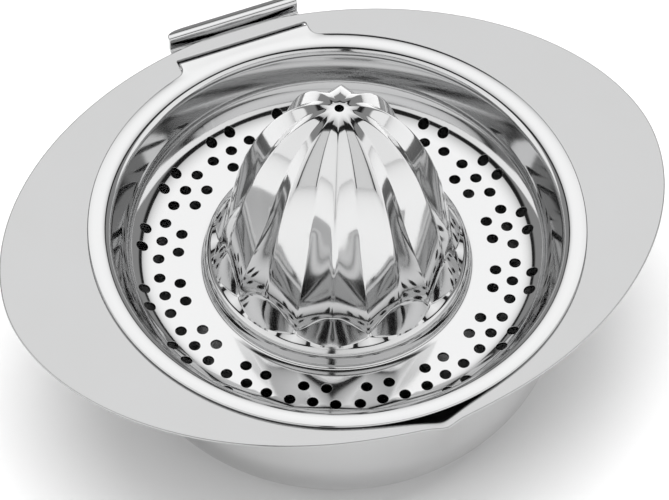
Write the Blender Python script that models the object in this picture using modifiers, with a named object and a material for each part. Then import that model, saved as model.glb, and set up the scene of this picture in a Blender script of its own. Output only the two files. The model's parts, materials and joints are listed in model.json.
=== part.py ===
"""Hand citrus juicer in sheet steel: a pouring bowl and the strainer that hooks into its rim.

Both pieces are deep-drawn from one sheet each.  The bowl is a round cup with a wide oval
flange, a pouring spout at the front (-Y) and a slot at the back (+Y).  The strainer is a
perforated dish with a fluted reamer dome; its tab drops through the slot, runs under the
strip of flange behind it and curls up again outside, so the strainer tips up about the slot.

Units are metres, +Z up.  The origin is the middle of the bowl's flat base, on the axis that
the bowl, the dish and the dome share.
"""
import math

import bmesh
import bpy
import numpy as np
from mathutils import Matrix

# ---------------------------------------------------------------- driving dimensions
SHEET = 0.0008              # thickness of the steel, both pieces
GAP = 0.0003                # air between the strainer's rim and the flange it lies on

# bowl: the mouth is the circle where the flat flange begins
BOWL_HEIGHT = 0.0540        # top of the flange above the table
BOWL_RADIUS = 0.0590        # inside radius of the cup's wall
CORNER_RADIUS = 0.0280      # inside radius between the wall and the base
MOUTH_FILLET = 0.0055       # inside radius between the wall and the flange
FLANGE_ENDS = 0.0254        # width of the flange beyond the mouth, on the long axis
FLANGE_BACK = 0.0081        # the same behind the mouth, where the slot is
FLANGE_FRONT = 0.0037       # the same in front of the mouth
FLANGE_POWER = 1.90         # 2 is an ellipse, less gives more pointed lobes

SPOUT_ANGLE = math.radians(-88.5)
SPOUT_THROW = 0.0046        # the spout's tip beyond the mouth
SPOUT_EDGE = 0.0006         # flange left beyond the tip
SPOUT_DEPTH = 0.0380        # how far down the wall the spout's channel runs
SPOUT_DIP = 0.0014          # the tip lies this far below the flange

STRIP_WIDTH = 0.0044        # flange left behind the slot
SLOT_WIDTH = 0.0036
SLOT_HALF_LENGTH = 0.0187

# strainer
DISH_DEPTH = 0.0145         # flange top to the dish's floor
WALL_CLEARANCE = 0.0007     # dish wall to cup wall
WALL_SLOPE = 72.0           # degrees, of the dish's wall
FLOOR_RADIUS = 0.0473       # flat part of the dish's floor
RIM_OVERLAP = 0.0005        # rim beyond the bowl's mouth
RIM_CORNER = 0.0036         # radius between the dish's wall and the rim
RIM_CROWN = (8.0, -12.0)    # slope of the rim's top at its inner and outer edge, in degrees

PLINTH_RADIUS = 0.0350
PLINTH_HEIGHT = 0.0063
PLINTH_SHOULDER = 0.0032    # radius round the top of the plinth
PLINTH_FILLET = 0.0010      # and at its foot
DOME_HEIGHT = 0.0637        # apex above the dish's floor
DOME_RADIUS = 0.0310        # half the width of the oval that the ridges follow
DOME_MIDDLE = -0.0050       # height of that oval's middle above the dish's floor
RIDGE_FOOT = 0.0138         # height of the ridges' foot above the floor
GROOVE_FOOT = 0.0069        # height of the grooves' foot above the floor
RIBS = 10
RIB_PHASE = math.radians(29.3)
RIB_DEPTH = 0.17            # groove depth as a share of the ridge radius
RIB_FADE_LOW = 26.0         # degrees of climb over which the grooves cut in above the foot
RIB_FADE_HIGH = 0.0040      # and distance from the apex hole over which they die out
APEX_HOLE_RADIUS = 0.0013
LEAF_TOE = 0.0331           # radius at the foot of the facet below a ridge
LEAF_TIP = 0.0310           # and where two facets meet below a groove
LEAF_LIFT = 0.0003          # foot of the facets above the plinth

CLUSTERS = 16
CLUSTER_PHASE = math.radians(15.0)
HOLE_CIRCLE = 0.0465
HOLE_PITCH = 0.0060         # between the holes of a row
ROW_STEP = 0.0048           # between the rows of a cluster
HOLE_RADIUS = 0.0015

TAB_PLAY = 0.0006           # tab to each end of the slot, and to the strip that it grips
TAB_SETBACK = 0.0016        # tab to the slot's far edge
TAB_BEND = 0.0009           # radius on the outside of the tab's tight bends
TAB_ROOT = 0.0018           # how far the tab's root reaches in over the rim
TAB_FLARE = 0.0028          # how much wider the root is on each side
TAB_FLAT = 0.0012           # flat run before the tab's first bend
LIP_REACH = 0.0045          # end of the lip beyond the flange
LIP_HEIGHT = 0.0026         # top of the lip above the flange
LIP_FOLD = 0.0014           # length of the fold on to the top of the lip
LIP_DROOP = 0.0006          # how far the end of the lip hangs below its top
LIP_INSET = 0.0046          # how much the rounded end of the lip narrows on each side

# mesh fineness, and the dome's rings by how far up they lie between the foot and the apex
DOME_RISES = (1.0, 0.95, 0.88, 0.8, 0.7, 0.58, 0.46, 0.34, 0.22, 0.11, 0.0)
BOWL_SIDES = 64
DISH_SIDES = RIBS * 6
HOLE_SIDES = 8

# what follows from them
MOUTH = BOWL_RADIUS + MOUTH_FILLET
SPOUT_REACH = MOUTH + SPOUT_THROW
SPOUT_OPENING = math.acos(MOUTH / SPOUT_REACH)      # the V's sides touch the mouth's circle
SLOT_OUTER = MOUTH + FLANGE_BACK - STRIP_WIDTH      # the edge about which the strainer tips
RIM_RADIUS = MOUTH + RIM_OVERLAP
RIM_EDGE = DISH_DEPTH + GAP + SHEET                 # top of the rim's edge above the dish's floor
TAB_HALF_WIDTH = SLOT_HALF_LENGTH - TAB_PLAY
FLOOR_Z = BOWL_HEIGHT - DISH_DEPTH                  # top of the dish's floor
COLLECTION = "citrus_juicer"


# ---------------------------------------------------------------- helpers
def clear_scene():
    for old in list(bpy.data.objects):
        bpy.data.objects.remove(old, do_unlink=True)


def collection(name):
    group = bpy.data.collections.new(name)
    bpy.context.scene.collection.children.link(group)
    return group


def steel(name, shade, roughness):
    material = bpy.data.materials.new(name)
    material.use_nodes = True
    shader = material.node_tree.nodes["Principled BSDF"]
    shader.inputs["Base Color"].default_value = (shade, shade, shade, 1.0)
    shader.inputs["Metallic"].default_value = 1.0
    shader.inputs["Roughness"].default_value = roughness
    return material


def angles(count):
    return [2 * math.pi * step / count for step in range(count)]


def turn_difference(angle, other):
    """Smallest signed turn from other to angle."""
    return (angle - other + math.pi) % (2 * math.pi) - math.pi


def smooth(share):
    share = min(max(share, 0.0), 1.0)
    return share * share * (3 - 2 * share)


def arc(centre, radius, start, end, steps):
    """Points of a plane arc, angles in degrees."""
    turns = np.radians(np.linspace(start, end, steps + 1))
    return [(centre[0] + radius * math.cos(t), centre[1] + radius * math.sin(t)) for t in turns]


def sheet_mesh(name, rows, wrap, pole=None):
    """A surface lofted through rows of points, innermost row first, facing up."""
    mesh = bmesh.new()
    rings = [[mesh.verts.new(point) for point in row] for row in rows]
    count = len(rings[0])
    columns = range(count if wrap else count - 1)
    if pole is not None:
        middle = mesh.verts.new(pole)
        for j in columns:
            mesh.faces.new((middle, rings[0][j], rings[0][(j + 1) % count]))
    for inner, outer in zip(rings, rings[1:]):
        for j in columns:
            k = (j + 1) % count
            mesh.faces.new((inner[j], outer[j], outer[k], inner[k]))
    data = bpy.data.meshes.new(name)
    mesh.to_mesh(data)
    mesh.free()
    return data


def place(name, data, group, material=None):
    obj = bpy.data.objects.new(name, data)
    group.objects.link(obj)
    if material:
        data.materials.append(material)
    return obj


def thicken(obj):
    """Sheet thickness on the underside of a surface that faces up."""
    solid = obj.modifiers.new("sheet", "SOLIDIFY")
    solid.thickness = SHEET
    solid.offset = -1.0
    solid.use_even_offset = True
    solid.use_quality_normals = True


def combine(obj, other, operation):
    step = obj.modifiers.new(operation.lower(), "BOOLEAN")
    step.operation = operation
    step.object = other
    step.solver = "EXACT"


def make_guide(obj):
    obj.hide_render = True
    obj.display_type = "WIRE"


def finish_shading(obj):
    obj.data.shade_smooth()
    obj.data.set_sharp_from_angle(angle=math.radians(35))


# ---------------------------------------------------------------- bowl
def flange_outline(angle):
    """Axis to the flange's edge: a superellipse set back from the axis, or the spout's own edge."""
    half_length = MOUTH + FLANGE_ENDS
    half_width = MOUTH + (FLANGE_BACK + FLANGE_FRONT) / 2
    shift = (FLANGE_BACK - FLANGE_FRONT) / 2
    low, high = 0.0, 1.2 * half_length
    for _ in range(50):
        radius = (low + high) / 2
        x = abs(radius * math.cos(angle)) / half_length
        y = abs(radius * math.sin(angle) - shift) / half_width
        if x ** FLANGE_POWER + y ** FLANGE_POWER > 1:
            high = radius
        else:
            low = radius
    return max(low, MOUTH + spout_bulge(angle) + SPOUT_EDGE)


def spout_bulge(angle):
    """How far the mouth is drawn out past its circle, by the two straight sides of the V."""
    turn = abs(turn_difference(angle, SPOUT_ANGLE))
    if turn > SPOUT_OPENING:
        return 0.0
    return MOUTH / math.cos(turn - SPOUT_OPENING) - MOUTH


def bowl_rows():
    """Rings of the bowl's inner surface, from the edge of the flat base to the flange's edge."""
    flat = BOWL_RADIUS - CORNER_RADIUS
    corner = arc((flat, SHEET + CORNER_RADIUS), CORNER_RADIUS, -90, 0, 8)
    mouth = arc((MOUTH, BOWL_HEIGHT - MOUTH_FILLET), MOUTH_FILLET, 180, 90, 5)
    wall_top = mouth[0][1]
    wall_bottom = corner[-1][1]
    wall = [(BOWL_RADIUS, wall_bottom + (wall_top - wall_bottom) * share) for share in (0.35, 0.7)]
    profile = corner + wall + mouth

    rows = []
    for radius, height in profile:
        drawn = smooth((height - (BOWL_HEIGHT - SPOUT_DEPTH)) / SPOUT_DEPTH)
        row = []
        for angle in angles(BOWL_SIDES):
            bulge = spout_bulge(angle)
            tip = bulge / SPOUT_THROW
            r = radius + bulge * drawn
            z = height - SPOUT_DIP * tip * smooth((height - wall_top) / MOUTH_FILLET)
            row.append((r * math.cos(angle), r * math.sin(angle), z))
        rows.append(row)

    for share in (0.5, 1.0):
        row = []
        for angle in angles(BOWL_SIDES):
            bulge = spout_bulge(angle)
            tip = bulge / SPOUT_THROW
            start = MOUTH + bulge
            r = start + (flange_outline(angle) - start) * share
            row.append((r * math.cos(angle), r * math.sin(angle), BOWL_HEIGHT - SPOUT_DIP * tip))
        rows.append(row)
    return rows


def make_bowl(group, cutters):
    data = sheet_mesh("bowl", bowl_rows(), wrap=True, pole=(0, 0, SHEET))
    bowl = place("bowl", data, group, steel("bowl_steel", 0.80, 0.12))
    thicken(bowl)

    bpy.ops.mesh.primitive_cube_add(size=1, location=(0, SLOT_OUTER - SLOT_WIDTH / 2, BOWL_HEIGHT))
    slot = bpy.context.object
    slot.name = "slot_cutter"
    slot.scale = (2 * SLOT_HALF_LENGTH, SLOT_WIDTH, 6 * SHEET)
    for home in list(slot.users_collection):
        home.objects.unlink(slot)
    cutters.objects.link(slot)
    make_guide(slot)
    combine(bowl, slot, "DIFFERENCE")
    finish_shading(bowl)
    return bowl


# ---------------------------------------------------------------- strainer
def rib_share(angle):
    """0 on a ridge and 1 in the groove between two ribs."""
    half = math.pi / RIBS
    turn = (angle - RIB_PHASE + half) % (2 * half) - half
    return abs(turn) / half


def rib_cut(share, depth):
    """Radius of a flat flank as a share of the ridge's, from the ridge down to the groove."""
    half = math.pi / RIBS
    floor = 1 - depth
    return floor * math.sin(half) / (math.sin(share * half) + floor * math.sin((1 - share) * half))


def dome_rows():
    """Rings of the reamer from the apex hole down to the leaf-shaped facets at the ribs' feet."""
    half_height = DOME_HEIGHT - DOME_MIDDLE
    start = math.degrees(math.acos(APEX_HOLE_RADIUS / DOME_RADIUS))
    rows = []
    for rise in DOME_RISES:
        row = []
        for angle in angles(DISH_SIDES):
            share = rib_share(angle)
            foot = GROOVE_FOOT + (RIDGE_FOOT - GROOVE_FOOT) * math.cos(share * math.pi / 2)
            lowest = math.degrees(math.asin((foot - DOME_MIDDLE) / half_height))
            degrees = lowest + (start - lowest) * rise
            climb = math.radians(degrees)
            ridge = DOME_RADIUS * math.cos(climb)
            fade = smooth((degrees - lowest) / RIB_FADE_LOW)
            fade *= smooth((ridge - APEX_HOLE_RADIUS) / RIB_FADE_HIGH)
            r = ridge * rib_cut(share, RIB_DEPTH * fade)
            z = FLOOR_Z + DOME_MIDDLE + half_height * math.sin(climb)
            row.append((r * math.cos(angle), r * math.sin(angle), z))
        rows.append(row)

    leaf = []
    for angle in angles(DISH_SIDES):
        share = rib_share(angle)
        r = LEAF_TIP + (LEAF_TOE - LEAF_TIP) * math.cos(share * math.pi / 2)
        z = FLOOR_Z + PLINTH_HEIGHT + LEAF_LIFT
        leaf.append((r * math.cos(angle), r * math.sin(angle), z))
    rows.append(leaf)
    return rows


def dish_profile():
    """Radius and height over the floor, from the plinth's edge out to the edge of the rim."""
    slope = math.radians(WALL_SLOPE)
    inner, outer = np.radians(RIM_CROWN)
    plinth = arc((PLINTH_RADIUS - PLINTH_SHOULDER, PLINTH_HEIGHT - PLINTH_SHOULDER),
                 PLINTH_SHOULDER, 55, 0, 2)
    plinth += [(PLINTH_RADIUS, PLINTH_FILLET), (PLINTH_RADIUS + PLINTH_FILLET, 0.0)]

    # the wall clears the cup's wall where the cup's mouth begins to open, and the bend meets it
    wall_z = DISH_DEPTH - MOUTH_FILLET
    wall_r = BOWL_RADIUS - WALL_CLEARANCE - SHEET / math.sin(slope)
    run = math.sin(slope) * (wall_r - FLOOR_RADIUS) - math.cos(slope) * wall_z
    radius = run / (1 - math.cos(slope))
    bend = arc((FLOOR_RADIUS, radius), radius, -90, WALL_SLOPE - 90, 4)

    # the rim's corner rolls over from the wall's slope to the crown of the rim
    top = RIM_EDGE
    corner_z = top - RIM_CORNER * (math.cos(inner) - math.cos(slope))
    corner_r = wall_r + (corner_z - wall_z) / math.tan(slope)
    corner = [(corner_r + RIM_CORNER * (math.sin(slope) - math.sin(t)),
               corner_z + RIM_CORNER * (math.cos(t) - math.cos(slope)))
              for t in np.linspace(slope, inner, 4)]
    crown = (RIM_RADIUS - corner[-1][0]) / (math.sin(inner) - math.sin(outer))
    rim = [(corner[-1][0] + crown * (math.sin(inner) - math.sin(t)),
            top + crown * (math.cos(t) - math.cos(inner)))
           for t in np.linspace(inner, outer, 4)[1:]]
    return plinth + bend + corner + rim


def strainer_rows():
    rows = dome_rows()
    for radius, height in dish_profile():
        rows.append([(radius * math.cos(a), radius * math.sin(a), FLOOR_Z + height)
                     for a in angles(DISH_SIDES)])
    return rows


def tab_path():
    """The tab's upper surface seen from the side: distance from the axis and height over the flange."""
    under = -SHEET - TAB_PLAY
    plunge = SLOT_OUTER - TAB_SETBACK
    rise = MOUTH + FLANGE_BACK + TAB_PLAY
    top = GAP + SHEET
    tight = TAB_BEND / 2
    path = [(plunge - TAB_BEND - TAB_FLAT, top), (plunge - TAB_BEND, top)]
    path += arc((plunge - TAB_BEND, top - TAB_BEND), TAB_BEND, 60, 0, 2)
    path += arc((plunge + tight, under + tight), tight, 180, 270, 2)
    path += arc((rise - tight, under + tight), tight, 270, 360, 2)
    end = MOUTH + FLANGE_BACK + LIP_REACH
    path += [(rise, LIP_HEIGHT - 0.7 * LIP_FOLD), (rise + 0.3 * LIP_FOLD, LIP_HEIGHT - 0.2 * LIP_FOLD),
             (rise + LIP_FOLD, LIP_HEIGHT), (end - 0.7 * LIP_FOLD, LIP_HEIGHT - LIP_DROOP / 3),
             (end, LIP_HEIGHT - LIP_DROOP)]
    return path


def tab_rows():
    """Straight rows across the tab, after a first one that follows the rim it grows from."""
    spread = np.linspace(-1, 1, 9)
    root = RIM_RADIUS - TAB_ROOT
    flare = TAB_HALF_WIDTH + TAB_FLARE
    root_z = FLOOR_Z + RIM_EDGE - SHEET / 8
    rows = [[(-s * flare, math.sqrt(root ** 2 - (s * flare) ** 2), root_z) for s in spread]]
    lip_start = MOUTH + FLANGE_BACK + TAB_PLAY + 0.7 * LIP_FOLD
    end = MOUTH + FLANGE_BACK + LIP_REACH
    for y, z in tab_path():
        run = max(y - lip_start, 0.0) / (end - lip_start)
        half = TAB_HALF_WIDTH - LIP_INSET * (1 - math.sqrt(max(1 - run * run, 0.0)))
        rows.append([(-s * half, y, BOWL_HEIGHT + z) for s in spread])
    return rows


def hole_centres():
    """Clusters of seven: rows of two, three and two."""
    for cluster in range(CLUSTERS):
        angle = CLUSTER_PHASE + 2 * math.pi * cluster / CLUSTERS
        for step, offsets in ((-1, (-0.5, 0.5)), (0, (-1, 0, 1)), (1, (-0.5, 0.5))):
            radius = HOLE_CIRCLE + step * ROW_STEP
            for offset in offsets:
                across = offset * HOLE_PITCH
                yield (radius * math.cos(angle) - across * math.sin(angle),
                       radius * math.sin(angle) + across * math.cos(angle))


def hole_cutters(cutters):
    """All the drain holes' punches in one guide object."""
    mesh = bmesh.new()
    for x, y in hole_centres():
        made = bmesh.ops.create_cone(mesh, cap_ends=True, segments=HOLE_SIDES, radius1=HOLE_RADIUS,
                                     radius2=HOLE_RADIUS, depth=10 * SHEET)
        bmesh.ops.translate(mesh, verts=made["verts"], vec=(x, y, FLOOR_Z))
    data = bpy.data.meshes.new("hole_cutters")
    mesh.to_mesh(data)
    mesh.free()
    punches = place("hole_cutters", data, cutters)
    make_guide(punches)
    return punches


def make_strainer(group, cutters):
    # the strainer turns about the top edge of the slot's far side
    hinge = bpy.data.objects.new("strainer_hinge", None)
    hinge.location = (0, SLOT_OUTER, BOWL_HEIGHT)
    group.objects.link(hinge)

    data = sheet_mesh("strainer", strainer_rows(), wrap=True)
    strainer = place("strainer", data, group, steel("strainer_steel", 0.86, 0.05))
    thicken(strainer)
    combine(strainer, hole_cutters(cutters), "DIFFERENCE")

    tab = place("tab", sheet_mesh("tab", tab_rows(), wrap=False), cutters)
    thicken(tab)
    make_guide(tab)
    combine(strainer, tab, "UNION")
    finish_shading(strainer)

    data.transform(Matrix.Translation((0, -SLOT_OUTER, -BOWL_HEIGHT)))
    strainer.parent = hinge
    return strainer


def main():
    clear_scene()
    parts = collection(COLLECTION)
    cutters = collection("cutters")
    make_bowl(parts, cutters)
    make_strainer(parts, cutters)


main()
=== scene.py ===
"""Looks for the hand citrus juicer: the two steel pressings at full detail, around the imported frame."""

import json
import math

import bpy
import numpy as np
from mathutils import Matrix, Vector
from mathutils.geometry import delaunay_2d_cdt


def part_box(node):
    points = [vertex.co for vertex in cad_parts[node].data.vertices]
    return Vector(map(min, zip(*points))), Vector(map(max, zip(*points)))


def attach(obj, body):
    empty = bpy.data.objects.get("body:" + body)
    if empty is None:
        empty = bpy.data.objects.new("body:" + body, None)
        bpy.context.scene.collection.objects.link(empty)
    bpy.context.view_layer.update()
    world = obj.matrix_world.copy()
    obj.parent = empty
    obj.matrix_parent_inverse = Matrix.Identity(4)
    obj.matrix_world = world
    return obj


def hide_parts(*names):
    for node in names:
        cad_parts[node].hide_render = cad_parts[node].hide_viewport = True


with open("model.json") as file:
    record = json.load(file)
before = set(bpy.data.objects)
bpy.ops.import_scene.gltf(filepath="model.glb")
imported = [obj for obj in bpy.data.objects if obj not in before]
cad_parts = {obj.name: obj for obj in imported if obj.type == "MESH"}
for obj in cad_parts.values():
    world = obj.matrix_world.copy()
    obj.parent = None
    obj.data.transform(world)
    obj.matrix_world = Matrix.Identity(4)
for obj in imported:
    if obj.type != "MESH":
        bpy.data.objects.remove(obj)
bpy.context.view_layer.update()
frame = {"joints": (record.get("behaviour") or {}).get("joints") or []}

MM = 0.001
SHEET = 0.8 * MM
GAP = 0.3 * MM              # air between the strainer's rim and the flange

# ---------------------------------------------------------------- sizes read from the frame
_, bowl_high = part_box("bowl")
_, strainer_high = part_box("strainer")
hinge = frame["joints"][0]["pos_m"]

FLANGE_Z = hinge[2]
SLOT_OUTER = hinge[1]
RIM_RADIUS = strainer_high[0]
RIM_OVERLAP = 0.5 * MM      # rim beyond the bowl's mouth
MOUTH = RIM_RADIUS - RIM_OVERLAP
HALF_LENGTH = bowl_high[0]
FLANGE_BACK = bowl_high[1]
FLANGE_FRONT = MOUTH + 3.7 * MM     # from the axis, like the two above
LIP_END = strainer_high[1]
DISH_DEPTH = 14.5 * MM      # flange to the dish's floor
FLOOR_Z = FLANGE_Z - DISH_DEPTH
APEX_Z = strainer_high[2]

# ---------------------------------------------------------------- the bowl's own shape
MOUTH_FILLET = 5.5 * MM
CUP_RADIUS = MOUTH - MOUTH_FILLET
CORNER_RADIUS = 28.0 * MM
FLANGE_POWER = 1.90
SPOUT_ANGLE = math.radians(-88.5)
SPOUT_THROW = 4.6 * MM
SPOUT_EDGE = 0.6 * MM
SPOUT_DEPTH = 38.0 * MM
SPOUT_DIP = 1.4 * MM
SPOUT_TIP = 0.018           # rounding of the V's tip, in radians: about a millimetre
SPOUT_OPENING = math.acos(MOUTH / (MOUTH + SPOUT_THROW))
SLOT_WIDTH = 3.6 * MM
SLOT_HALF_LENGTH = 18.7 * MM
SLOT_CORNER = 0.7 * MM
LIP_BLEND = 0.6 * MM        # rounding where the flange's oval runs into the spout's lip
EDGE_TRIM = 0.02 * MM       # taken off the whole outline
BOWL_COLUMNS = 480          # points round the bowl

# ---------------------------------------------------------------- the strainer's own shape
WALL_SLOPE = math.radians(72)
WALL_CLEARANCE = 0.7 * MM
FLOOR_RADIUS = 47.3 * MM
RIM_EDGE_Z = FLANGE_Z + GAP + SHEET
RIM_CORNER = 3.6 * MM
RIM_INNER_SLOPE = math.radians(8)
RIM_OUTER_SLOPE = math.radians(-12)
FLAT_MARGIN = 5 * MM        # the rim is flat this far past each side of the tab
FLAT_FADE = 7 * MM          # and turns crowned over this width
PLINTH_RADIUS = 35.0 * MM
PLINTH_HEIGHT = 6.3 * MM
PLINTH_SHOULDER = 3.2 * MM
PLINTH_FILLET = 1.0 * MM
RIBS = 10
RIB_PHASE = math.radians(29.3)
RIB_DEPTH = 0.17            # groove depth as a share of the ridge radius
RIB_FADE_LOW = math.radians(26)     # climb over which the grooves cut in above the foot
RIB_FADE_HIGH = 4 * MM      # distance from the apex hole over which they die out
RIDGE_EASE = 0.045          # rounding of the ridges and grooves, as shares of half a rib
GROOVE_EASE = 0.035
DOME_RADIUS = 31.0 * MM
DOME_MIDDLE = -5.0 * MM
RIDGE_FOOT = 13.8 * MM
GROOVE_FOOT = 6.9 * MM
APEX_HOLE = 1.3 * MM
LEAF_TOE = 33.1 * MM
LEAF_TIP = 31.0 * MM
CLUSTERS = 16
CLUSTER_PHASE = math.radians(15.0)
HOLE_CIRCLE = 46.5 * MM
HOLE_PITCH = 6.0 * MM
ROW_STEP = 4.8 * MM
HOLE_RADIUS = 1.5 * MM
FLOOR_BAND = (PLINTH_RADIUS + PLINTH_FILLET, 54.0 * MM)     # the ring that holds the drain holes
TAB_PLAY = 0.6 * MM         # tab to each end of the slot, and to the strip that it grips
TAB_HALF_WIDTH = SLOT_HALF_LENGTH - TAB_PLAY
TAB_SETBACK = 1.6 * MM      # tab to the slot's far edge
TAB_PLUNGE = SLOT_OUTER - TAB_SETBACK
TAB_BEND = 0.9 * MM
TAB_FILLET = 3.0 * MM
LIP_HEIGHT = 2.6 * MM
LIP_FOLD = 1.3 * MM
LIP_DROOP = 0.6 * MM
LIP_INSET = 4.6 * MM

# the fillet between the rim and the tab's side, and the angles at which it starts and ends
FILLET_REACH = RIM_RADIUS + TAB_FILLET
FILLET_X = TAB_HALF_WIDTH + TAB_FILLET
FILLET_Y = math.sqrt(FILLET_REACH ** 2 - FILLET_X ** 2)
FILLET_START = math.atan2(FILLET_Y, FILLET_X)
FILLET_END = math.atan2(FILLET_Y, TAB_HALF_WIDTH)
TAB_EDGE = TAB_PLUNGE - TAB_BEND
TAB_CORNER = math.atan2(TAB_EDGE, TAB_HALF_WIDTH)

HOLE_STEPS = 32             # points round a drain hole
RIB_COLUMNS = 40            # columns across one rib


# ---------------------------------------------------------------- sheet metal from surfaces
class Sheet:
    """The upper surface of a pressed sheet: points with their normals, and faces that look up."""

    def __init__(self):
        self.points = []
        self.normals = []
        self.faces = []
        self.punched = set()

    def add(self, points, normals):
        first = len(self.points)
        self.points.extend(map(tuple, points))
        self.normals.extend(map(tuple, normals))
        return list(range(first, len(self.points)))

    def ring(self, inner, outer, closed=True):
        """Quads between two rows of points, the outer one further from the axis."""
        count = len(inner)
        for j in range(count if closed else count - 1):
            k = (j + 1) % count
            self.faces.append((inner[j], outer[j], outer[k], inner[k]))


# how a sheet's edge runs from the top face to the underside: outward, down (in sheet
# thicknesses), and the turn of its normal
ROUNDED_EDGE = [(0.5 * math.sin(t), 0.5 * (1 - math.cos(t)), t) for t in np.radians([30, 60, 90, 120, 150])]
PUNCHED_EDGE = [(0.07, 0.03, math.radians(45)), (0.10, 0.12, math.radians(88)),
                (0.10, 0.88, math.radians(92)), (0.07, 0.97, math.radians(135))]


def solid(name, sheet):
    """Closes a sheet: underside one thickness below, and rounded edges round every free border."""
    points = np.array(sheet.points)
    normals = np.array(sheet.normals)
    normals /= np.linalg.norm(normals, axis=1)[:, None]
    count = len(points)

    seen = {}
    for face in sheet.faces:
        for a, b in zip(face, face[1:] + face[:1]):
            seen[(a, b)] = True
    border = [(a, b) for a, b in seen if (b, a) not in seen]
    outward = {}
    for a, b in border:
        way = np.cross(points[b] - points[a], (normals[a] + normals[b]) / 2)
        way /= np.linalg.norm(way)
        outward.setdefault(a, []).append(way)
        outward.setdefault(b, []).append(way)

    all_points = [points, points - SHEET * normals]
    all_normals = [normals, -normals]
    faces = list(sheet.faces)
    faces += [tuple(count + v for v in reversed(face)) for face in sheet.faces]

    chain = {}
    edge_points, edge_normals = [], []
    next_index = 2 * count
    for vertex, ways in outward.items():
        way = np.mean(ways, axis=0)
        way -= normals[vertex] * np.dot(way, normals[vertex])
        way /= np.linalg.norm(way)
        steps = PUNCHED_EDGE if vertex in sheet.punched else ROUNDED_EDGE
        indices = []
        for out, down, turn in steps:
            edge_points.append(points[vertex] + SHEET * (out * way - down * normals[vertex]))
            edge_normals.append(math.cos(turn) * normals[vertex] + math.sin(turn) * way)
            indices.append(next_index)
            next_index += 1
        chain[vertex] = [vertex] + indices + [vertex + count]
    for a, b in border:
        for k in range(len(chain[a]) - 1):
            faces.append((chain[b][k], chain[a][k], chain[a][k + 1], chain[b][k + 1]))
    all_points.append(np.array(edge_points))
    all_normals.append(np.array(edge_normals))

    mesh = bpy.data.meshes.new(name)
    mesh.from_pydata(np.concatenate(all_points).tolist(), [], faces)
    mesh.shade_smooth()
    mesh.normals_split_custom_set_from_vertices(np.concatenate(all_normals).tolist())
    obj = bpy.data.objects.new(name, mesh)
    bpy.context.scene.collection.objects.link(obj)
    return obj


def grid_normals(grid, closed):
    """Normals of a grid of points [row, column, xyz], rows running outward and columns turning left."""
    along = np.gradient(grid, axis=0)
    if closed:
        across = np.roll(grid, -1, axis=1) - np.roll(grid, 1, axis=1)
    else:
        across = np.gradient(grid, axis=1)
    normals = np.cross(along, across)
    return normals / np.maximum(np.linalg.norm(normals, axis=2), 1e-12)[:, :, None]


def smooth(share):
    share = np.clip(share, 0.0, 1.0)
    return share * share * (3 - 2 * share)


def turned(radii, heights, angles):
    """Grid of points turned about the axis, from radii and heights by row and column."""
    return np.stack([radii * np.cos(angles), radii * np.sin(angles), heights], axis=2)


def arc(centre, radius, start, end, steps):
    turns = np.linspace(start, end, steps + 1)
    return [(centre[0] + radius * math.cos(t), centre[1] + radius * math.sin(t)) for t in turns]


def fill_flat(sheet, loops, scatter, height):
    """Fills the plan between loops of points with triangles, through scattered inner points.

    loops is a list of (points, existing indices or None, punched). The first is the outer
    border, the second the inner one, and the rest are holes.
    """
    plan, indices, edges = [], [], []
    for points, existing, punched in loops:
        first = len(plan)
        plan += [Vector(p) for p in points]
        count = len(points)
        edges += [(first + j, first + (j + 1) % count) for j in range(count)]
        if existing is None:
            z, normal = height(np.array(points))
            new = sheet.add(np.column_stack([points, z]), normal)
            indices += new
            if punched:
                sheet.punched.update(new)
        else:
            indices += existing
    z, normal = height(scatter)
    plan += [Vector(p) for p in scatter]
    indices += sheet.add(np.column_stack([scatter, z]), normal)

    points_out, _, faces, origin, _, _ = delaunay_2d_cdt(plan, edges, [], 0, 1e-9)
    holes = [np.array(points) for points, _, _ in loops[1:]]
    centres = np.array([hole.mean(axis=0) for hole in holes])
    reaches = np.array([np.linalg.norm(hole - centre, axis=1).max() for hole, centre in zip(holes, centres)])
    outer = np.array(loops[0][0])
    for face in faces:
        middle = np.mean([points_out[v] for v in face], axis=0)
        if not inside(middle, outer):
            continue
        near = np.linalg.norm(centres - middle, axis=1) < reaches
        if any(inside(middle, holes[h]) for h in np.flatnonzero(near)):
            continue
        corners = [indices[origin[v][0]] for v in face]
        a, b, c = [np.array(points_out[v]) for v in face[:3]]
        if np.cross(b - a, c - a) < 0:
            corners.reverse()
        sheet.faces.append(tuple(corners))


def inside(point, polygon):
    """Whether a point of the plan lies inside a polygon."""
    x, y = point
    x1, y1 = polygon[:, 0], polygon[:, 1]
    x2, y2 = np.roll(x1, -1), np.roll(y1, -1)
    crosses = (y1 > y) != (y2 > y)
    with np.errstate(divide="ignore", invalid="ignore"):
        at = x1 + (y - y1) * (x2 - x1) / (y2 - y1)
    return bool(np.sum(crosses & (x < at)) % 2)


# ---------------------------------------------------------------- bowl
def spout_bulge(angles):
    """How far the mouth is drawn out past its circle, by the two straight sides of the V."""
    turn = np.abs((angles - SPOUT_ANGLE + math.pi) % (2 * math.pi) - math.pi)
    turn = np.sqrt(turn ** 2 + SPOUT_TIP ** 2)
    away = np.clip(SPOUT_OPENING - turn, 0.0, None)
    return MOUTH / np.cos(away) - MOUTH


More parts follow.
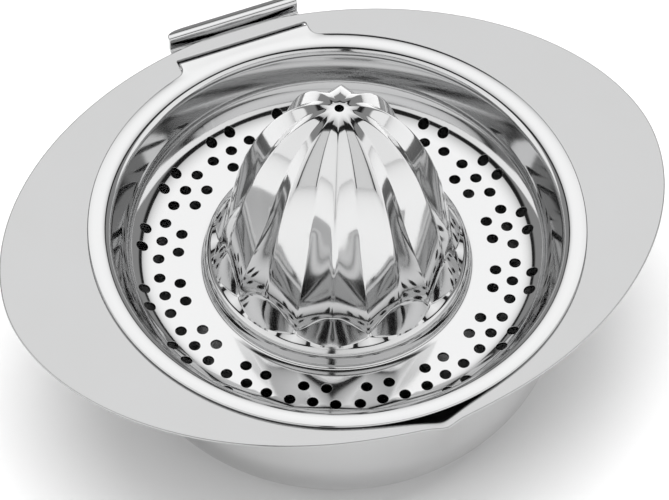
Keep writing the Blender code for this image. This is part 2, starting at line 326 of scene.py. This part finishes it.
def flange_outline(angles):
    half_width = (FLANGE_BACK + FLANGE_FRONT) / 2
    shift = (FLANGE_BACK - FLANGE_FRONT) / 2
    low = np.zeros_like(angles)
    high = np.full_like(angles, 1.2 * HALF_LENGTH)
    for _ in range(50):
        radius = (low + high) / 2
        x = np.abs(radius * np.cos(angles)) / HALF_LENGTH
        y = np.abs(radius * np.sin(angles) - shift) / half_width
        outside = x ** FLANGE_POWER + y ** FLANGE_POWER > 1
        high = np.where(outside, radius, high)
        low = np.where(outside, low, radius)
    lip = MOUTH + spout_bulge(angles) + SPOUT_EDGE
    return (low + lip + np.sqrt((low - lip) ** 2 + LIP_BLEND ** 2)) / 2 - EDGE_TRIM


def flange_height(points):
    """Height and normal of the flange over points of the plan: flat, with the spout's lip dipping."""
    def height(p):
        angles = np.arctan2(p[:, 1], p[:, 0])
        return FLANGE_Z - SPOUT_DIP * spout_bulge(angles) / SPOUT_THROW
    step = 0.05 * MM
    dx = (height(points + [step, 0]) - height(points - [step, 0])) / (2 * step)
    dy = (height(points + [0, step]) - height(points - [0, step])) / (2 * step)
    return height(points), np.column_stack([-dx, -dy, np.ones(len(points))])


def slot_loop():
    x, y = SLOT_HALF_LENGTH - SLOT_CORNER, SLOT_WIDTH / 2 - SLOT_CORNER
    middle = SLOT_OUTER - SLOT_WIDTH / 2
    points = []
    for sx, sy, start in ((1, 1, 0), (-1, 1, 90), (-1, -1, 180), (1, -1, 270)):
        turns = math.radians(start), math.radians(start + 90)
        points += arc((sx * x, middle + sy * y), SLOT_CORNER, *turns, 5)
    dense = []
    for a, b in zip(points, points[1:] + points[:1]):
        parts = max(1, int(math.dist(a, b) / (1.5 * MM)))
        dense += [(a[0] + (b[0] - a[0]) * k / parts, a[1] + (b[1] - a[1]) * k / parts) for k in range(parts)]
    return dense


def make_bowl():
    sheet = Sheet()
    spread = np.arange(BOWL_COLUMNS) / BOWL_COLUMNS * 2 * math.pi
    bulge = spout_bulge(spread)

    flat = CUP_RADIUS - CORNER_RADIUS
    bottom = [(flat * share, SHEET) for share in np.linspace(0.04, 0.96, 12)]
    corner = arc((flat, SHEET + CORNER_RADIUS), CORNER_RADIUS, -math.pi / 2, 0, 48)
    mouth = arc((MOUTH, FLANGE_Z - MOUTH_FILLET), MOUTH_FILLET, math.pi, math.pi / 2, 20)
    rise = np.linspace(corner[-1][1], mouth[0][1], 26)[1:-1]
    profile = bottom + corner + [(CUP_RADIUS, z) for z in rise] + mouth
    radii = np.array([p[0] for p in profile])[:, None]
    heights = np.array([p[1] for p in profile])[:, None]
    drawn = smooth((heights - (FLANGE_Z - SPOUT_DEPTH)) / SPOUT_DEPTH)
    dip = SPOUT_DIP * bulge / SPOUT_THROW * smooth((heights - mouth[0][1]) / MOUTH_FILLET)
    grid = turned(radii + bulge * drawn, heights - dip, spread)
    normals = grid_normals(grid, closed=True)
    middle = sheet.add([(0, 0, SHEET)], [(0, 0, 1)])[0]
    rows = [sheet.add(points, row) for points, row in zip(grid, normals)]
    for j in range(BOWL_COLUMNS):
        sheet.faces.append((middle, rows[0][j], rows[0][(j + 1) % BOWL_COLUMNS]))
    for inner, outer in zip(rows, rows[1:]):
        sheet.ring(inner, outer)

    # the flange, from the mouth out to the oval, round the slot
    outline = flange_outline(spread)
    edge = np.column_stack([outline * np.cos(spread), outline * np.sin(spread)])
    slot = slot_loop()
    scatter = []
    for share in np.linspace(0.0, 1.0, 15)[1:-1]:
        r = MOUTH + bulge + (outline - MOUTH - bulge) * share
        scatter.append(np.column_stack([r * np.cos(spread), r * np.sin(spread)])[::2])
    scatter = np.concatenate(scatter)
    near_slot = (np.abs(scatter[:, 0]) < SLOT_HALF_LENGTH + 0.5 * MM) & \
        (np.abs(scatter[:, 1] - SLOT_OUTER + SLOT_WIDTH / 2) < SLOT_WIDTH / 2 + 0.5 * MM)
    scatter = scatter[~near_slot]
    loops = [(edge.tolist(), None, False), (grid[-1][:, :2].tolist(), rows[-1], False), (slot, None, True)]
    fill_flat(sheet, loops, scatter, flange_height)
    return solid("bowl_pressing", sheet)


# ---------------------------------------------------------------- strainer
def tab_outline(angle):
    """Axis to the edge of the rim, which widens into the tab at the back."""
    turn = math.atan2(math.sin(angle), abs(math.cos(angle)))
    if turn <= FILLET_START:
        return RIM_RADIUS
    if turn <= FILLET_END:
        along = FILLET_X * math.cos(turn) + FILLET_Y * math.sin(turn)
        return along - math.sqrt(max(along ** 2 - FILLET_REACH ** 2 + TAB_FILLET ** 2, 0.0))
    if turn <= TAB_CORNER:
        return TAB_HALF_WIDTH / math.cos(turn)
    return TAB_EDGE / math.sin(turn)


def strainer_columns():
    """Angles of the columns: closer together in the grooves and round the tab's corners."""
    half = math.pi / RIBS
    angles = []
    for rib in range(RIBS):
        for step in range(RIB_COLUMNS):
            u = 2 * step / RIB_COLUMNS - 1
            angles.append(RIB_PHASE + 2 * half * rib + half * (u + 0.5 * math.sin(math.pi * u) / math.pi))
    extra = list(np.linspace(FILLET_START, FILLET_END, 12)) + [(FILLET_END + TAB_CORNER) / 2, TAB_CORNER]
    extra += [math.pi - angle for angle in extra]
    angles = [a % (2 * math.pi) for a in angles if min(abs((a % (2 * math.pi)) - e) for e in extra) > 0.004]
    return np.array(sorted(angles + extra))


def rib_share(angles):
    half = math.pi / RIBS
    return np.abs((angles - RIB_PHASE + half) % (2 * half) - half) / half


def dome_grid(angles):
    """The reamer from the apex hole down to the dish's floor."""
    share = rib_share(angles)
    eased = np.hypot(share, RIDGE_EASE) + 1 - np.hypot(1 - share, GROOVE_EASE) - share

    start = math.acos(APEX_HOLE / DOME_RADIUS)
    half_height = APEX_Z - FLOOR_Z - DOME_MIDDLE
    foot = GROOVE_FOOT + (RIDGE_FOOT - GROOVE_FOOT) * np.cos(share * math.pi / 2)
    lowest = np.arcsin((foot - DOME_MIDDLE) / half_height)
    rises = np.concatenate([np.linspace(1.0, 0.8, 22)[:-1], np.linspace(0.8, 0.0, 96)])[:, None]
    climbs = lowest + (start - lowest) * rises
    ridge = DOME_RADIUS * np.cos(climbs)
    fade = smooth((climbs - lowest) / RIB_FADE_LOW) * smooth((ridge - APEX_HOLE) / RIB_FADE_HIGH)
    half = math.pi / RIBS
    left = 1 - RIB_DEPTH * fade
    radii = ridge * left * math.sin(half) / (np.sin(eased * half) + left * np.sin((1 - eased) * half))
    heights = DOME_MIDDLE + half_height * np.sin(climbs)

    # leaf-shaped facet, the plinth's round shoulder, its wall and the fillet to the floor
    leaf_r = LEAF_TIP + (LEAF_TOE - LEAF_TIP) * np.cos(share * math.pi / 2)
    leaf_z = np.full_like(share, PLINTH_HEIGHT + 0.2 * MM)
    shoulder = arc((PLINTH_RADIUS - PLINTH_SHOULDER, PLINTH_HEIGHT - PLINTH_SHOULDER), PLINTH_SHOULDER,
                   math.radians(62), math.radians(2), 10)
    fillet = arc((PLINTH_RADIUS + PLINTH_FILLET, PLINTH_FILLET), PLINTH_FILLET,
                 math.radians(178), math.radians(270), 8)
    lower_r = [np.full_like(share, r) for r, _ in shoulder + fillet]
    lower_z = [np.full_like(share, z) for _, z in shoulder + fillet]
    foot_rows = round_polyline(radii[-1], heights[-1], leaf_r, leaf_z, lower_r[0], lower_z[0])
    radii = np.concatenate([radii, foot_rows[0], np.array(lower_r)])
    heights = np.concatenate([heights, foot_rows[1], np.array(lower_z)])
    return turned(radii, FLOOR_Z + heights, angles)


def round_polyline(top_r, top_z, leaf_r, leaf_z, edge_r, edge_z):
    """Rows down the facet at each rib's foot and out over the plinth, meeting in a corner at the leaf row.
    """
    rows_r, rows_z = [], []
    for share in np.linspace(0, 1, 9)[1:-1]:
        rows_r.append(top_r + (leaf_r - top_r) * share)
        rows_z.append(top_z + (leaf_z - top_z) * share)
    rows_r.append(leaf_r)
    rows_z.append(leaf_z)
    for share in np.linspace(0, 1, 9)[1:-1]:
        rows_r.append(leaf_r + (edge_r - leaf_r) * share)
        rows_z.append(leaf_z + (edge_z - leaf_z) * share)
    return np.array(rows_r), np.array(rows_z)


def dish_bend():
    """Centre height of the arc between the dish's floor and its wall, which is also its radius."""
    wall_z = FLANGE_Z - MOUTH_FILLET - FLOOR_Z
    wall_r = CUP_RADIUS - WALL_CLEARANCE - SHEET / math.sin(WALL_SLOPE)
    run = math.sin(WALL_SLOPE) * (wall_r - FLOOR_RADIUS) - math.cos(WALL_SLOPE) * wall_z
    return run / (1 - math.cos(WALL_SLOPE)), wall_r, wall_z


def floor_height(points):
    """Height and normal of the dish's floor and of the bend that it rises into."""
    radius, _, _ = dish_bend()
    r = np.linalg.norm(points, axis=1)
    up = np.clip((r - FLOOR_RADIUS) / radius, 0.0, 0.95)
    slope = up / np.sqrt(1 - up ** 2)
    z = FLOOR_Z + radius * (1 - np.sqrt(1 - up ** 2))
    return z, np.column_stack([-slope * points[:, 0] / r, -slope * points[:, 1] / r, np.ones(len(r))])


def hole_centres():
    for cluster in range(CLUSTERS):
        angle = CLUSTER_PHASE + 2 * math.pi * cluster / CLUSTERS
        for step, offsets in ((-1, (-0.5, 0.5)), (0, (-1, 0, 1)), (1, (-0.5, 0.5))):
            radius = HOLE_CIRCLE + step * ROW_STEP
            for offset in offsets:
                across = offset * HOLE_PITCH
                yield (radius * math.cos(angle) - across * math.sin(angle),
                       radius * math.sin(angle) + across * math.cos(angle))


def circle(centre, radius, steps, turn=0.0):
    return [(centre[0] + radius * math.cos(t + turn), centre[1] + radius * math.sin(t + turn))
            for t in np.arange(steps) * 2 * math.pi / steps]


def rim_grid(angles, outline):
    """The dish's wall and its rolled rim, out to the outline, which takes in the root of the tab."""
    bend, wall_r, wall_z = dish_bend()
    corner_z = (RIM_EDGE_Z - FLOOR_Z) - RIM_CORNER * (math.cos(RIM_INNER_SLOPE) - math.cos(WALL_SLOPE))
    corner_r = wall_r + (corner_z - wall_z) / math.tan(WALL_SLOPE)
    start = math.asin(min((FLOOR_BAND[1] - FLOOR_RADIUS) / bend, 1.0))
    profile = [(FLOOR_RADIUS + bend * math.sin(t), bend * (1 - math.cos(t)))
               for t in np.linspace(start, WALL_SLOPE, 22)]
    steps = np.linspace(profile[-1][1], corner_z, 10)[1:-1]
    profile += [(wall_r + (z - wall_z) / math.tan(WALL_SLOPE), z) for z in steps]
    profile += [(corner_r + RIM_CORNER * (math.sin(WALL_SLOPE) - math.sin(t)),
                 corner_z + RIM_CORNER * (math.cos(t) - math.cos(WALL_SLOPE)))
                for t in np.linspace(WALL_SLOPE, RIM_INNER_SLOPE, 18)]
    inner_r, inner_z = profile[-1]
    radii = [np.full_like(angles, r) for r, _ in profile]
    heights = [np.full_like(angles, z) for _, z in profile]

    # across the rim: crowned, or flat where it runs into the tab
    past_tab = TAB_HALF_WIDTH + FLAT_MARGIN - np.abs(RIM_RADIUS * np.cos(angles))
    sector = smooth(past_tab / FLAT_FADE) * (np.sin(angles) > 0)
    crown = (RIM_RADIUS - inner_r) / (math.sin(RIM_INNER_SLOPE) - math.sin(RIM_OUTER_SLOPE))
    for share in np.linspace(0, 1, 13)[1:]:
        turn = RIM_INNER_SLOPE + (RIM_OUTER_SLOPE - RIM_INNER_SLOPE) * share
        crowned = inner_z + crown * (math.cos(turn) - math.cos(RIM_INNER_SLOPE))
        level = inner_z + 0.15 * MM * math.sin(math.pi / 2 * min(2 * share, 1.0)) * (1 - smooth(share) * 0.9)
        radii.append(inner_r + (outline - inner_r) * share)
        heights.append(crowned + (level - crowned) * sector)
    return turned(np.array(radii), FLOOR_Z + np.array(heights), angles)


def tab_rows(xs):
    """Rows of the tab past its first bend: down through the slot, under the strip, up and over."""
    under = FLANGE_Z - SHEET - TAB_PLAY
    top = RIM_EDGE_Z
    rise = FLANGE_BACK + TAB_PLAY
    tight = TAB_BEND * 0.9
    path = arc((TAB_PLUNGE - TAB_BEND, top - TAB_BEND), TAB_BEND, math.pi / 2, 0, 8)[1:]
    path += arc((TAB_PLUNGE + tight, under + tight), tight, math.pi, 1.5 * math.pi, 8)
    path += [(TAB_PLUNGE + tight + (rise - TAB_PLUNGE - 2 * tight) * s, under) for s in (0.25, 0.5, 0.75)]
    path += arc((rise - tight, under + tight), tight, 1.5 * math.pi, 2 * math.pi, 8)
    lip_top = FLANGE_Z + LIP_HEIGHT
    fold = LIP_FOLD
    path += [(rise, lip_top - fold - (lip_top - fold - under - tight) * s) for s in (0.5, 0.2)]
    path += arc((rise + fold, lip_top - fold), fold, math.pi, math.pi / 2, 10)
    reach = LIP_END - SHEET / 2 - rise - fold
    path += [(rise + fold + reach * s, lip_top - LIP_DROOP * s * s) for s in np.linspace(0, 1, 9)[1:]]

    lip_start = rise + 1.0 * MM
    end = LIP_END - SHEET / 2
    grid = []
    for y, z in path:
        run = max(y - lip_start, 0.0) / (end - lip_start)
        narrow = 1 - LIP_INSET / TAB_HALF_WIDTH * (1 - math.sqrt(max(1 - run ** 2.4, 0.0)))
        grid.append([(x * narrow, y, z) for x in xs])
    return np.array(grid)


def make_strainer():
    sheet = Sheet()
    angles = strainer_columns()

    dome = dome_grid(angles)
    rows = [sheet.add(points, row) for points, row in zip(dome, grid_normals(dome, closed=True))]
    for inner, outer in zip(rows, rows[1:]):
        sheet.ring(inner, outer)
    sheet.punched.update(rows[0])
    plinth_foot = rows[-1]

    outline = np.array([tab_outline(a) for a in angles])
    rim = rim_grid(angles, outline)
    in_tab = [j for j, a in enumerate(angles) if TAB_CORNER - 1e-9 <= a <= math.pi - TAB_CORNER + 1e-9]
    tab = tab_rows(rim[-1, in_tab, 0])
    rim_normals = grid_normals(rim, closed=True)
    joined = np.concatenate([rim[-6:, in_tab], tab])
    tab_normals = grid_normals(joined, closed=False)
    rim_rows = [sheet.add(points, row) for points, row in zip(rim, rim_normals)]
    for k, row in enumerate(rim_rows[-4:]):
        for column, j in enumerate(in_tab[1:-1], 1):
            sheet.normals[row[j]] = tuple(tab_normals[k + 2, column])
    for inner, outer in zip(rim_rows, rim_rows[1:]):
        sheet.ring(inner, outer)
    tab_indices = [sheet.add(points, row) for points, row in zip(tab, tab_normals[6:])]
    sheet.ring([rim_rows[-1][j] for j in in_tab], tab_indices[0], closed=False)
    for inner, outer in zip(tab_indices, tab_indices[1:]):
        sheet.ring(inner, outer, closed=False)

    # the perforated floor
    loops = [(rim[0][:, :2].tolist(), rim_rows[0], False), (dome[-1][:, :2].tolist(), plinth_foot, False)]
    centres = list(hole_centres())
    edge = HOLE_RADIUS + 0.1 * SHEET
    loops += [(circle(c, edge, HOLE_STEPS), None, True) for c in centres]
    collars = [circle(c, edge + 0.30 * MM, HOLE_STEPS, 0.1) for c in centres]
    scatter = [np.array(collar) for collar in collars]
    for r in np.arange(FLOOR_BAND[0] + 0.9 * MM, FLOOR_BAND[1] - 0.4 * MM, 1.0 * MM):
        ring = np.array(circle((0, 0), r, int(2 * math.pi * r / (1.1 * MM))))
        distance = np.linalg.norm(ring[:, None] - np.array(centres)[None], axis=2).min(axis=1)
        scatter.append(ring[distance > edge + 0.55 * MM])
    fill_flat(sheet, loops, np.concatenate(scatter), floor_height)
    return solid("strainer_pressing", sheet)


# ---------------------------------------------------------------- materials
def steel(name, shade, roughness, grain, smudge):
    """Stainless steel: a faint rolled grain and soft polishing marks in its roughness and bump."""
    material = bpy.data.materials.new(name)
    material.use_nodes = True
    tree = material.node_tree
    nodes, links = tree.nodes, tree.links
    shader = nodes["Principled BSDF"]
    shader.inputs["Metallic"].default_value = 1.0
    place = nodes.new("ShaderNodeTexCoord")

    marks = nodes.new("ShaderNodeTexNoise")
    marks.inputs["Scale"].default_value = 38.0
    marks.inputs["Detail"].default_value = 6.0
    marks.inputs["Roughness"].default_value = 0.6
    links.new(place.outputs["Object"], marks.inputs["Vector"])
    spread = nodes.new("ShaderNodeMapRange")
    spread.inputs["From Min"].default_value = 0.3
    spread.inputs["From Max"].default_value = 0.7
    spread.inputs["To Min"].default_value = roughness * (1 - smudge)
    spread.inputs["To Max"].default_value = roughness * (1 + smudge)
    links.new(marks.outputs["Fac"], spread.inputs["Value"])
    links.new(spread.outputs["Result"], shader.inputs["Roughness"])

    tint = nodes.new("ShaderNodeMix")
    tint.data_type = "RGBA"
    tint.inputs["A"].default_value = (shade * 0.985, shade * 0.99, shade, 1)
    tint.inputs["B"].default_value = (shade * 1.01, shade * 1.01, shade * 1.005, 1)
    links.new(marks.outputs["Fac"], tint.inputs["Factor"])
    links.new(tint.outputs["Result"], shader.inputs["Base Color"])

    stretch = nodes.new("ShaderNodeMapping")
    stretch.inputs["Scale"].default_value = (60, 2400, 2400)
    links.new(place.outputs["Object"], stretch.inputs["Vector"])
    lines = nodes.new("ShaderNodeTexNoise")
    lines.inputs["Scale"].default_value = 1.0
    lines.inputs["Detail"].default_value = 2.0
    links.new(stretch.outputs["Vector"], lines.inputs["Vector"])
    bump = nodes.new("ShaderNodeBump")
    bump.inputs["Strength"].default_value = grain
    bump.inputs["Distance"].default_value = 0.00001
    links.new(lines.outputs["Fac"], bump.inputs["Height"])
    links.new(bump.outputs["Normal"], shader.inputs["Normal"])
    return material


# ---------------------------------------------------------------- camera
CAMERA_TURN = math.radians(-23.0)       # the camera stands this far round from the front
CAMERA_AIM = CAMERA_TURN + 0.0007       # and looks this way
CAMERA_TILT = 0.9107
CAMERA_ROLL = 0.0153
CAMERA_FAR = 0.9487                     # horizontal distance from the axis
CAMERA_UP = 1.2268                      # above the dish's floor
CAMERA_LENS = 8.8081                    # focal length in sensor widths


def direction(turn, climb):
    """Unit vector from the object towards azimuth turn (0 is the front) and the given elevation."""
    return (math.sin(turn) * math.cos(climb), -math.cos(turn) * math.cos(climb), math.sin(climb))


def make_camera():
    data = bpy.data.cameras.new("camera")
    data.sensor_width = 36.0
    data.lens = CAMERA_LENS * data.sensor_width
    data.clip_start = 0.05
    camera = bpy.data.objects.new("camera", data)
    bpy.context.scene.collection.objects.link(camera)
    forward = -Vector(direction(CAMERA_AIM, CAMERA_TILT))
    right = forward.cross(Vector((0, 0, 1))).normalized()
    up = right.cross(forward)
    c, s = math.cos(CAMERA_ROLL), math.sin(CAMERA_ROLL)
    right, up = c * right + s * up, c * up - s * right
    place = Vector(direction(CAMERA_TURN, 0)) * CAMERA_FAR + Vector((0, 0, FLOOR_Z + CAMERA_UP))
    camera.matrix_world = Matrix.Translation(place) @ Matrix((right, up, -forward)).transposed().to_4x4()
    bpy.context.scene.camera = camera


# ---------------------------------------------------------------- studio
# the overhead light is a disc on a level plane one unit up: how far behind its middle is, and its radius
PANEL_BACK = 0.64
PANEL_RADIUS = 0.86
PANEL_SPREAD = 0.72         # below 1 it is wider than deep
PANEL_LEVEL = 1.45
PANEL_FALL = 0.95           # how much darker it is towards its edge
WALL_PLANE = (-0.396, 0.768, 0.504)     # sideways, back and up: the walls end on this plane
WALL_FRONT = 0.94           # brightness of the walls straight ahead and at the sides
WALL_SIDE = 1.27
SLIT_CENTRE = 0.050         # the camera's slit, in units of the distance ahead
SLIT_HALF = 0.050
RING_RADIUS = 1.25          # the gap round the light is dark, and the room beyond is dim
RING_LEVEL = 0.02
ROOM_LEVEL = 0.34
EDGE_SOFTNESS = 0.03        # of the light's edge and of the walls'
SLIT_SOFTNESS = 0.012
AHEAD_SOFTNESS = 0.02
RING_SOFTNESS = 0.2
FLOOR_LIGHT = 27.0          # watts
FLOOR_LIGHT_PLACE = (0.0, 0.1, 1.6)
FLOOR_LIGHT_SIZE = (1.6, 1.6)
FLOOR_REACH = 3.0           # from the middle of the floor to its sides
FLOOR_DROP = 0.0002         # floor below the bowl's base


def make_floor():
    mesh = bpy.data.meshes.new("floor")
    reach = FLOOR_REACH
    corners = [(-reach, -reach, 0), (reach, -reach, 0), (reach, reach, 0), (-reach, reach, 0)]
    mesh.from_pydata(corners, [], [(0, 1, 2, 3)])
    floor = bpy.data.objects.new("floor", mesh)
    floor.location.z = -FLOOR_DROP
    bpy.context.scene.collection.objects.link(floor)
    material = bpy.data.materials.new("pale_floor")
    material.use_nodes = True
    shader = material.node_tree.nodes["Principled BSDF"]
    shader.inputs["Base Color"].default_value = (0.86, 0.86, 0.86, 1)
    shader.inputs["Roughness"].default_value = 0.8
    mesh.materials.append(material)


def area_light(name, location, target, size, energy):
    data = bpy.data.lights.new(name, "AREA")
    data.shape = "RECTANGLE"
    data.size, data.size_y = size
    data.energy = energy
    light = bpy.data.objects.new(name, data)
    bpy.context.scene.collection.objects.link(light)
    light.location = location
    light.rotation_euler = (Vector(target) - Vector(location)).to_track_quat("-Z", "Y").to_euler()
    return light


def make_floor_light():
    """Lifts the floor to white; the steel's own reflections come from the tent."""
    light = area_light("floor_light", FLOOR_LIGHT_PLACE, (0, 0, 0), FLOOR_LIGHT_SIZE, FLOOR_LIGHT)
    light.visible_glossy = False


class Field:
    """A number that varies with direction, built up from math nodes."""

    def __init__(self, tree, socket):
        self.tree = tree
        self.socket = socket

    def math(self, operation, *others):
        node = self.tree.nodes.new("ShaderNodeMath")
        node.operation = operation
        for slot, value in zip(node.inputs, (self, *others)):
            if isinstance(value, Field):
                self.tree.links.new(value.socket, slot)
            else:
                slot.default_value = value
        return Field(self.tree, node.outputs["Value"])

    def __add__(self, other):
        return self.math("ADD", other)

    def __sub__(self, other):
        return self.math("SUBTRACT", other)

    def __mul__(self, other):
        return self.math("MULTIPLY", other)

    def __truediv__(self, other):
        return self.math("DIVIDE", other)

    def __abs__(self):
        return self.math("ABSOLUTE")

    def below(self, edge, softness):
        """1 below the edge and 0 above it."""
        return ((self - edge) / -softness + 0.5).math("MINIMUM", 1.0).math("MAXIMUM", 0.0)


def make_studio():
    """A light tent: a round soft light overhead, pale walls in front and at the sides with a slit
    for the camera, and a dark room behind and in the gap between light and walls."""
    world = bpy.data.worlds.new("tent")
    bpy.context.scene.world = world
    world.use_nodes = True
    tree = world.node_tree
    place = tree.nodes.new("ShaderNodeTexCoord")

    def along(axis):
        node = tree.nodes.new("ShaderNodeVectorMath")
        node.operation = "DOT_PRODUCT"
        tree.links.new(place.outputs["Generated"], node.inputs[0])
        node.inputs[1].default_value = axis
        return Field(tree, node.outputs["Value"])

    across = along(direction(CAMERA_TURN + math.pi / 2, 0.0))
    back = along(direction(CAMERA_TURN + math.pi, 0.0))
    up = along((0.0, 0.0, 1.0))
    side = abs(across)
    height = up.math("MAXIMUM", 0.02)

    x, y = across / height, back / height - PANEL_BACK
    rho = (x * x * PANEL_SPREAD + y.math("MINIMUM", 0.0) * y.math("MINIMUM", 0.0)).math("SQRT")
    rho = rho.math("MAXIMUM", y)
    panel = rho.below(PANEL_RADIUS, EDGE_SOFTNESS)
    walls = (side * WALL_PLANE[0] + back * WALL_PLANE[1] + up * WALL_PLANE[2]).below(0.0, EDGE_SOFTNESS)
    front = back.math("MINIMUM", -0.001) * -1
    slit = abs(across / front + SLIT_CENTRE).below(SLIT_HALF, SLIT_SOFTNESS)
    ahead = back.below(0.0, AHEAD_SOFTNESS)
    pale = walls * (side * (WALL_SIDE - WALL_FRONT) + WALL_FRONT) * (slit * ahead * -1 + 1)
    room = rho.below(RING_RADIUS, RING_SOFTNESS) * (RING_LEVEL - ROOM_LEVEL) + ROOM_LEVEL
    bright = rho * rho * -PANEL_FALL + PANEL_LEVEL
    level = panel * bright + (panel * -1 + 1) * (pale + room * (walls * -1 + 1))
    tree.links.new(level.socket, tree.nodes["Background"].inputs["Color"])
    tree.nodes["Background"].inputs["Strength"].default_value = 1.0


# ---------------------------------------------------------------- assembly
bpy.context.scene.view_settings.view_transform = "Standard"
make_camera()
make_floor()
make_studio()
make_floor_light()

bowl = make_bowl()
bowl.data.materials.append(steel("satin_steel", 0.47, 0.19, 0.12, 0.15))
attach(bowl, "bowl")
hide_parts("bowl")

strainer = make_strainer()
strainer.data.materials.append(steel("polished_steel", 0.62, 0.075, 0.05, 0.25))
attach(strainer, "strainer")
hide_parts("strainer")

bpy.context.view_layer.update()
